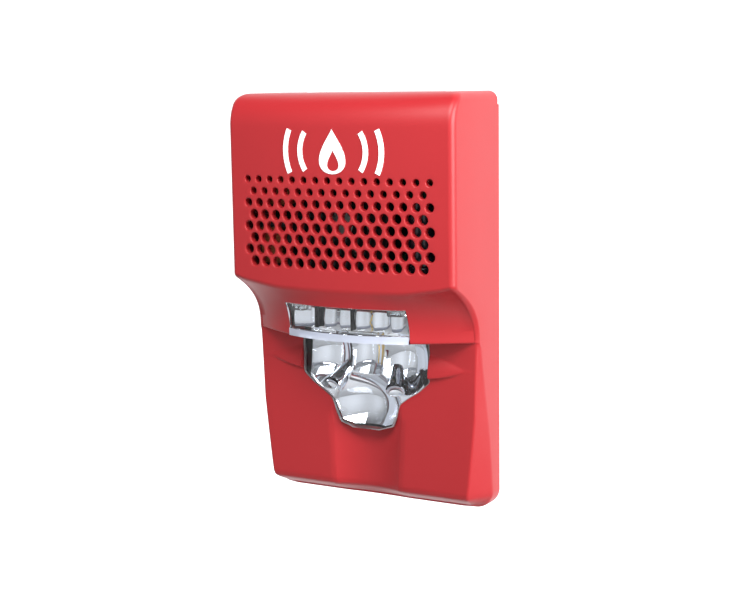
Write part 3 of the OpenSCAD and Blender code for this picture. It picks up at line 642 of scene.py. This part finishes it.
# Boxes cut out of the case, as (x0, x1, y0, y1, z0, z1)
SETTING_PORT = (-40, -HALF_W + WALL + 1, -5.4, -2.2, -35, -25)
LATCH_SLOT = (-3, 3, -4, -2.6, -HALF_H - 2, -HALF_H + WALL + 1)
shell = build_cover(RED)
cuts = [(-60, 60, RELIEF_Y, 2, RELIEF_Z, 80), SETTING_PORT, LATCH_SLOT]
cuts += [(s * EAR_X - EAR_GAP, s * EAR_X + EAR_GAP, -5.6, 2, 50, HALF_H + 2) for s in (-1, 1)]
cut(shell, cuts)
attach(shell, "cover")
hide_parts("front_cover")
# Lugs inside the cover, which hold the hinge pins on both sides of each ear
LUG_AT, LUG_WIDE = ((18.7, "inner"), (25.3, "outer")), 1.1
for side, label in SIDES:
    for x, end in LUG_AT:
        soft_box(f"hinge_lug_{label}_{end}",
                 (side * x - LUG_WIDE, side * x + LUG_WIDE, -5.2, -1.2, 53.1, HALF_H - WALL + 0.3),
                 "cover", "red_plastic")


def closed_net(name, front, back, body, slot_name, angle=30.0):
    """A closed solid between two nets of points of the same size."""
    m, n = len(front), len(front[0])
    verts = [p for row in front for p in row] + [p for row in back for p in row]

    def at(side, r, c):
        return side * m * n + r * n + c

    faces = []
    for r in range(m - 1):
        for c in range(n - 1):
            faces.append((at(0, r, c), at(0, r + 1, c), at(0, r + 1, c + 1), at(0, r, c + 1)))
            faces.append((at(1, r, c), at(1, r, c + 1), at(1, r + 1, c + 1), at(1, r + 1, c)))
    for r in range(m - 1):
        faces.append((at(0, r, 0), at(1, r, 0), at(1, r + 1, 0), at(0, r + 1, 0)))
        faces.append((at(0, r, n - 1), at(0, r + 1, n - 1), at(1, r + 1, n - 1), at(1, r, n - 1)))
    for c in range(n - 1):
        faces.append((at(0, 0, c), at(0, 0, c + 1), at(1, 0, c + 1), at(1, 0, c)))
        faces.append((at(0, m - 1, c), at(1, m - 1, c), at(1, m - 1, c + 1), at(0, m - 1, c + 1)))
    piece = mesh_object(name, verts, faces, body, LOOKS[slot_name], angle)
    return piece


def boss_piece(name, x, z, r, y0, y1, turns=32):
    """A round boss standing back from the face, with a softened end."""
    rings = [(y0, r * 1.15), (y0 + 0.4, r), (y1 - 0.15, r), (y1, r - 0.15)]
    angles = [2 * math.pi * k / turns for k in range(turns)]
    verts = [(x + q * math.cos(a), y, z + q * math.sin(a)) for y, q in rings for a in angles]
    faces = [(i * turns + k, (i + 1) * turns + k, (i + 1) * turns + (k + 1) % turns,
              i * turns + (k + 1) % turns) for i in range(len(rings) - 1) for k in range(turns)]
    last = (len(rings) - 1) * turns
    faces += [list(range(turns)), [last + k for k in range(turns)][::-1]]
    piece = mesh_object(name, verts, faces, "cover", LOOKS["red_plastic"], 40)


# ---------- lens ----------
LENS_T, LENS_WALL = 1.2, 1.15          # thickness of the bubble, and of the window as a share
LENS_TAPER = 0.2                       # how much narrower the inner surface is
LENS_FIT, LENS_FIT_W = 0.993, WINDOW_W - 0.12
LENS_MID = -22.0
LENS_FOOT = LENS_MID + LENS_FIT * (OPEN_FOOT - LENS_MID)
LIP_TOP, LIP_LOW, LIP_PROUD = -7.3, -9.35, 0.45
SHELF_END, BUBBLE_TOP = -9.9, -10.2


def lens_w(z):
    """Half width of the lens, which follows the opening."""
    if z > HOOD_Z - 0.1:
        return LENS_FIT_W
    return LENS_FIT * float(opening_w(LENS_MID + (z - LENS_MID) / LENS_FIT))


def bubble(u, z):
    """How far the lens stands in front of the panel."""
    return 3.2 * (1 - u * u) * math.sqrt(min(1, max(0, (z - LENS_FOOT) / 12)))


def lens_rows():
    """Rows of the lens, top to bottom. Each is (zone, value)."""
    rows = [("window", z) for z in spans((0, LIP_TOP + 0.1, 12))]
    rows += [("lip", z) for z in spans((LIP_TOP, LIP_LOW, 6))]
    rows += [("shelf", t) for t in spans((0.12, 1, 7))]
    rows += [("bubble", z) for z in spans((BUBBLE_TOP, -20, 20), (-20, -30, 22), (-30, -34.6, 16),
                                          (-34.6, LENS_FOOT + 0.02, 8))]
    return rows


def lens_point(zone, v, u, i):
    """A point of the lens on row (zone, v), at u across from -1 to 1; i is the inset."""
    if zone in ("window", "lip"):
        x = u * (LENS_FIT_W - LENS_TAPER * i)
        proud = LIP_PROUD if zone == "lip" else 0.0
        drop = i if v < LIP_LOW + 0.4 else 0.0
        y = float(cove_y(np.array([x]), np.array([v]))[0]) + LENS_WALL * i - proud
        return (x, y, v + drop)
    if zone == "shelf":
        z = mix(LIP_LOW, SHELF_END, v) + i
        x = u * (mix(LENS_FIT_W, lens_w(SHELF_END), smooth(v)) - LENS_TAPER * i)
        lip = float(cove_y(np.array([x]), np.array([LIP_LOW]))[0]) - LIP_PROUD
        y = mix(lip, PANEL_Y - bubble(u, BUBBLE_TOP), v) + i * mix(LENS_WALL, 1, v)
        return (x, y, z)
    x = u * (lens_w(v) - LENS_TAPER * i)
    return (x, PANEL_Y - bubble(u, v) + i, v + (i if v > BUBBLE_TOP - 0.2 else 0))


# Columns across the lens, closer together towards its sides
us = np.sin(np.linspace(-1, 1, 57) * math.pi / 2) * 0.35 + np.linspace(-1, 1, 57) * 0.65
lens = closed_net("clear_lens_shell",
                  [[lens_point(zone, v, u, 0.0) for u in us] for zone, v in lens_rows()],
                  [[lens_point(zone, v, u, LENS_T) for u in us] for zone, v in lens_rows()],
                  "cover", "clear_lens", 50)
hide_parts("lens")
lens.data.materials.append(LIP_REFLECTION_LOOK)
# The front of the lip is coloured a half see-through pale bluish white, a painted reflection
for face in lens.data.polygons:
    z = face.center.z / MM
    if LIP_LOW - 0.15 < z < LIP_TOP and abs(face.normal.z) < 0.9 and face.normal.y < -0.2:
        face.material_index = 1
LUG_X, LUG_Y, LUG_Z, LUG_HALF, LUG_LOW = 14.8, -21.3, 2.6, 2.0, -1.8
for side, label in SIDES:
    across = (side * LUG_X - LUG_HALF, side * LUG_X + LUG_HALF)
    soft_box(f"lens_lug_{label}", (*across, LUG_Y, LUG_Y + 1, LUG_LOW, 4.4),
             "cover", "clear_lens")
    soft_box(f"lens_riser_{label}", (*across, -23.1, LUG_Y + 0.3, LUG_LOW, -0.25),
             "cover", "clear_lens")
    boss_piece(f"lens_boss_{label}", side * LUG_X, LUG_Z, 1.5, -24.2, LUG_Y - 0.1)

# ---------- reflector ----------
REFL_Y, REFL_T, REFL_MAX, REFL_FIT = -10.9, 0.6, 5.2, 0.955
REFL_W = 17.6          # half width above the hood's edge
# Bowls as (x, z, depth, radius inwards, radius outwards, radius up, radius down)
BOWLS = [(-11.2, -15.5, 5.1, 4.4, 6.2, 9.0, 9.4), (11.2, -15.5, 5.1, 4.4, 6.2, 9.0, 9.4),
         (0.0, -13.5, 4.3, 3.7, 3.7, 16.0, 11.5), (0.0, -28.6, 5.2, 9.6, 9.6, 7.2, 8.6)]


def bowl(b, x, z):
    """Depth of one bowl, which goes below zero outside it."""
    x0, z0, depth, r_in, r_out, r_up, r_low = b
    rx = np.where(np.abs(x) < abs(x0), r_in, r_out)
    rz = np.where(z > z0, r_up, r_low)
    return depth - (x - x0) ** 2 / (2 * rx) - (z - z0) ** 2 / (2 * rz)


def refl_depth(x, z, crease=0.10):
    """Depth of the mirror: the deepest bowl, with a tight crease where bowls meet."""
    best = bowl(BOWLS[0], x, z)
    for b in BOWLS[1:]:
        other = bowl(b, x, z)
        best = 0.5 * (best + other + np.sqrt((best - other) ** 2 + crease ** 2))
    return np.clip(best, -0.6, REFL_MAX)


def refl_w(z):
    """Half width of the mirror, which swells a little below the hood and follows the opening."""
    if z > HOOD_Z - 0.3:
        return REFL_W
    wide = REFL_FIT * float(opening_w(LENS_MID + (z - LENS_MID) / REFL_FIT))
    return min(wide, REFL_W + 0.7 * math.sin(math.pi * step01((HOOD_Z - z) / 14.5)))


REFL_FOOT = LENS_MID + REFL_FIT * (OPEN_FOOT + 0.3 - LENS_MID)
uu = np.linspace(-1, 1, 141)
zz = np.array(spans((-0.6, REFL_FOOT, 130)))
front, rear = [], []
for z in zz:
    x = uu * refl_w(z)
    y = REFL_Y + refl_depth(x, np.full_like(x, z))
    front.append(np.stack([x, y, np.full_like(x, z)], 1))
    rear.append(np.stack([x, y + REFL_T, np.full_like(x, z)], 1))
mirror = closed_net("chrome_reflector", front, rear, "base", "reflector_chrome", 60)
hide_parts("reflector")

FLUTE_Y, FLUTE_BOW, FLUTE_PITCH = -21.0, 0.0085, 5.03
FLUTE_TOP, FLUTE_LOW = -0.7, -6.95


def fluted(x):
    """Front of the upright flutes behind the window."""
    wave = np.abs(np.sin(math.pi * (x + REFL_W) / FLUTE_PITCH)) ** 1.3
    hook = 0.27 * np.maximum(0, np.abs(x) - 11.5)
    return FLUTE_Y + FLUTE_BOW * x * x - hook + mix(0.12, 0.75, smooth((x + 13.5) / 2.5)) * wave


def flute_lean(z):
    """How far the flutes curve back above and below their middle."""
    return 0.5 * ((z + 4.4) / 3.5) ** 2


fx = np.linspace(-REFL_W, REFL_W, 190)
fz = spans((FLUTE_TOP, FLUTE_LOW, 18))
lean = [flute_lean(z) for z in fz]
front = [np.stack([fx, fluted(fx) + k, np.full_like(fx, z)], 1) for z, k in zip(fz, lean)]
rear = [np.stack([fx, fluted(fx) + k + REFL_T, np.full_like(fx, z)], 1)
        for z, k in zip(fz, lean)]
closed_net("reflector_flutes", front, rear, "base", "reflector_chrome", 60)


def tube_piece(name, ends, radii, body, slot_name, turns=40, steps=14):
    """A straight lofted tube with a rounded lip and a dished end."""
    a, b = (Vector(e) for e in ends)
    axis = (b - a).normalized()
    u = axis.cross(Vector((0, 1, 0))).normalized()
    v = axis.cross(u)
    rings = [(t, mix(radii[0], radii[1], t ** 0.8)) for t in np.linspace(0, 1, steps)]
    rings += [(1.03, radii[1] * 0.97), (1.03, radii[1] * 0.90), (1.0, radii[1] * 0.84),
              (0.93, radii[1] * 0.5), (0.91, radii[1] * 0.1)]
    verts, faces = [], []
    for t, r in rings:
        centre = a + (b - a) * t
        for k in range(turns):
            ang = 2 * math.pi * k / turns
            verts.append(centre + u * (r * math.cos(ang)) + v * (r * math.sin(ang)))
    for i in range(len(rings) - 1):
        for k in range(turns):
            m = (k + 1) % turns
            faces.append((i * turns + k, i * turns + m, (i + 1) * turns + m, (i + 1) * turns + k))
    faces.append(list(range(turns))[::-1])
    faces.append([(len(rings) - 1) * turns + k for k in range(turns)])
    piece = mesh_object(name, verts, faces, body, LOOKS[slot_name], 50)
    return piece


# Tube ends beside the lower bowl
for side, label in SIDES:
    tube_piece(f"reflector_lobe_{label}",
               ((side * 7.4, -7.2, -19.0), (side * 9.6, -12.6, -24.3)), (1.6, 2.7),
               "base", "reflector_chrome")
# Dark bars between the flutes
for x, wide, label in ((-10.6, 0.5, "left"), (0.9, 0.28, "middle")):
    front = FLUTE_Y + FLUTE_BOW * x * x
    soft_box(f"mirror_joint_{label}",
             (x - wide, x + wide, front - 0.25, front + 0.9, FLUTE_LOW + 0.1, FLUTE_TOP),
             "base", "black_plastic", 0.15)
SEAM_PROUD, SEAM_T, SEAM_TOP, SEAM_LOW = 0.12, 0.25, -9.6, -18.2


def seam_piece(name, path, wide, slot_name):
    """A thin raised strip along a path of (x, y, z) points, its front at the path."""
    front = [[(x + w * wide / 2, y, z) for w in (-1, 0, 1)] for x, y, z in path]
    rear = [[(x, y + SEAM_T, z) for x, y, z in row] for row in front]
    closed_net(name, front, rear, "base", slot_name, 60)


wave_z = spans((-1.0, FLUTE_LOW + 0.1, 40))
wave_x = [6.6 + 0.28 * math.sin(1.9 * z) + 0.14 * math.sin(4.7 * z) for z in wave_z]
wave_y = [float(fluted(np.array([x]))[0]) + flute_lean(z) - SEAM_PROUD
          for x, z in zip(wave_x, wave_z)]
seam_piece("amber_seam_upper", list(zip(wave_x, wave_y, wave_z)), 0.3, "gold_pin")
for start, lean_x, label, look in ((-6.1, -0.1, "left", "black_plastic"),
                                   (1.4, 0.05, "middle", "gold_pin"),
                                   (3.3, 0.02, "right", "brass")):
    seam_z = spans((SEAM_TOP, SEAM_LOW, 40))
    seam_x = [start + lean_x * (SEAM_TOP - z) for z in seam_z]
    seam_y = [REFL_Y + float(refl_depth(np.array([x]), np.array([z]))[0]) - SEAM_PROUD
              for x, z in zip(seam_x, seam_z)]
    seam_piece(f"bowl_seam_{label}", list(zip(seam_x, seam_y, seam_z)), 0.35, look)

# ---------- camera, light and stage ----------
# The camera's place, its right and up directions, and a small slide across its view
CAMERA_AT = Vector((193.8, -357.3, 60.75)) * MM
RIGHT = Vector((0.87626, 0.48161, -0.01470))
UP = Vector((-0.06033, 0.13994, 0.98832))
back = RIGHT.cross(UP).normalized()
true_up = back.cross(RIGHT).normalized()
SLIDE = RIGHT * 0.00037 + true_up * 0.00013
cam_data = bpy.data.cameras.new("camera")
cam_data.sensor_width = 36.0
cam_data.lens = 69.26
cam_data.clip_start = 0.01
cam_data.clip_end = 20
camera = bpy.data.objects.new("camera", cam_data)
axes = Matrix((RIGHT, true_up, back)).transposed().to_4x4()
camera.matrix_world = Matrix.Translation(CAMERA_AT + SLIDE) @ axes
bpy.context.scene.collection.objects.link(camera)
bpy.context.scene.camera = camera


def area(name, at, aim, size, power):
    """A rectangular soft light, in metres and watts."""
    light = bpy.data.lights.new(name, "AREA")
    light.shape = "RECTANGLE"
    light.size, light.size_y = size
    light.energy = power
    lamp = bpy.data.objects.new(name, light)
    lamp.location = at
    lamp.rotation_euler = (Vector(aim) - Vector(at)).to_track_quat("-Z", "Y").to_euler()
    bpy.context.scene.collection.objects.link(lamp)


area("key", (1.5, -0.25, 0.35), (0, 0, 0), (0.7, 1.0), 40)
area("near", (0.08, -0.23, 0.26), (0, 0, 0.02), (0.28, 0.16), 1.75)

world = bpy.data.worlds.new("studio")
bpy.context.scene.world = world
world.use_nodes = True
wn, wl = world.node_tree.nodes, world.node_tree.links
direction = wn.new("ShaderNodeTexCoord")
split = wn.new("ShaderNodeSeparateXYZ")
wl.new(direction.outputs["Generated"], split.inputs["Vector"])
# Soft walls of light: (axis, start, end, strength), each fading in along its axis
SKY = [("Y", -0.3, -1.0, 0.68), ("X", 0.0, 1.0, 0.64), ("X", -0.1, -0.8, 0.26)]
total = None
for axis, start, end, gain in SKY:
    ramp = wn.new("ShaderNodeMapRange")
    ramp.interpolation_type = "SMOOTHSTEP"
    ramp.inputs["From Min"].default_value = start
    ramp.inputs["From Max"].default_value = end
    ramp.inputs["To Min"].default_value = 0.0
    ramp.inputs["To Max"].default_value = gain
    wl.new(split.outputs[axis], ramp.inputs["Value"])
    if total is None:
        total = ramp.outputs["Result"]
        continue
    add = wn.new("ShaderNodeMath")
    add.operation = "ADD"
    wl.new(total, add.inputs[0])
    wl.new(ramp.outputs["Result"], add.inputs[1])
    total = add.outputs["Value"]
wl.new(total, wn["Background"].inputs["Strength"])
wn["Background"].inputs["Color"].default_value = (0.95, 0.97, 1.0, 1)


def sheet(name, verts, look):
    """A flat part of the stage, in metres."""
    mesh = bpy.data.meshes.new(name)
    mesh.from_pydata(verts, [], [(0, 1, 2, 3)])
    mesh.materials.append(look)
    piece = bpy.data.objects.new(name, mesh)
    bpy.context.scene.collection.objects.link(piece)


WALL_LOOK = material("wall_paint", (0.93, 0.93, 0.93), rough=0.9, vary=0.004,
                     Emission_Color=(1, 1, 1, 1), Emission_Strength=0.62)
FLOOR_LOOK = material("floor_paint", (0.80, 0.80, 0.80), rough=0.9, vary=0.01)
# The wall stands well behind, so that the back of the device can be looked at too
WALL_Y, WALL_TOP, FLOOR_Z, FLOOR_FRONT, STAGE_X = 1.2, 3.5, -1.4, -3, 12.0
sheet("backdrop_wall", [(-STAGE_X, WALL_Y, FLOOR_Z), (STAGE_X, WALL_Y, FLOOR_Z),
                        (STAGE_X, WALL_Y, WALL_TOP), (-STAGE_X, WALL_Y, WALL_TOP)], WALL_LOOK)
sheet("floor", [(-STAGE_X, FLOOR_FRONT, FLOOR_Z), (STAGE_X, FLOOR_FRONT, FLOOR_Z),
                (STAGE_X, WALL_Y, FLOOR_Z), (-STAGE_X, WALL_Y, FLOOR_Z)], FLOOR_LOOK)
bpy.context.scene.view_settings.view_transform = "Standard"
